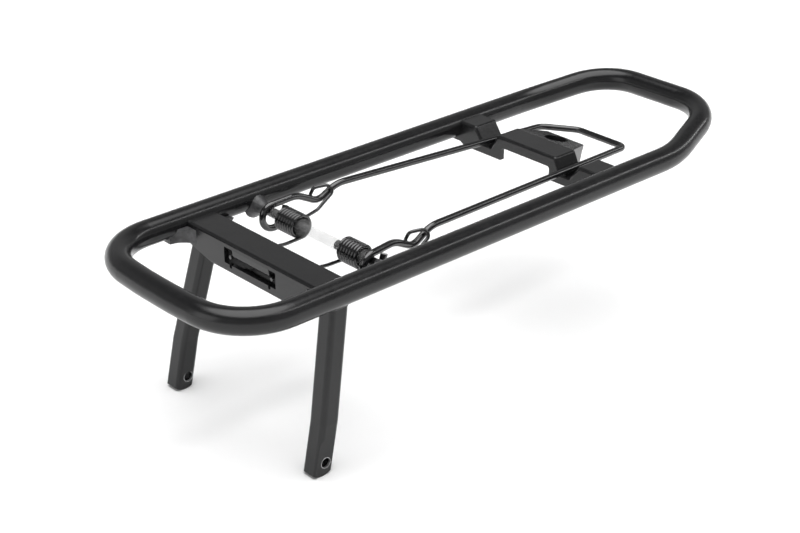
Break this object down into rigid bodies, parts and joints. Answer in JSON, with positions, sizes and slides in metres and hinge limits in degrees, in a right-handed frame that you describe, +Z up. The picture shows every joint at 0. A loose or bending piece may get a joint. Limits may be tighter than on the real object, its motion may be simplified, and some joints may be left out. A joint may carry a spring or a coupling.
{
  "type": "bicycle rear rack",
  "caption": "Compact bent-tube bicycle rear rack on short welded legs, with a spring-loaded wire clamp for holding luggage down.",
  "frame": {"origin": "midpoint between the two foot bolt holes, on their common axis", "axes": "+X to the bicycle's rear, +Y to its right side along the foot bolt axis, +Z up"},
  "size_m": [0.3636, 0.123, 0.1057],
  "materials": {
    "powder_coat": "satin black powder coat",
    "coated_weld": "rippled weld under satin black coat",
    "gloss_black_wire": "gloss black coated wire",
    "clear_plastic": "translucent natural white"
  },
  "bodies": {
    "frame": {"deck_loop": "powder_coat", "front_plate": "powder_coat", "rear_bridge": "powder_coat", "leg_left": "powder_coat", "leg_right": "powder_coat", "leg_welds": "coated_weld", "rod_welds": "coated_weld", "plate_welds": "coated_weld", "bridge_welds": "coated_weld", "pivot_rod_left": "powder_coat", "pivot_rod_right": "powder_coat", "pivot_sleeve": "clear_plastic", "spring_left": "gloss_black_wire", "spring_right": "gloss_black_wire"},
    "clamp": {"clamp_wire": "gloss_black_wire"}
  },
  "joints": [
    {"name": "clamp_hinge", "type": "hinge", "parent": "frame", "child": "clamp", "pos_m": [0.0485, 0, 0.0813], "axis": [0, -1, 0], "range_deg": [0, 90], "stiffness_Nm_per_rad": 0.6, "springref_deg": -20.05, "deforming": ["spring_left", "spring_right"]}
  ]
}
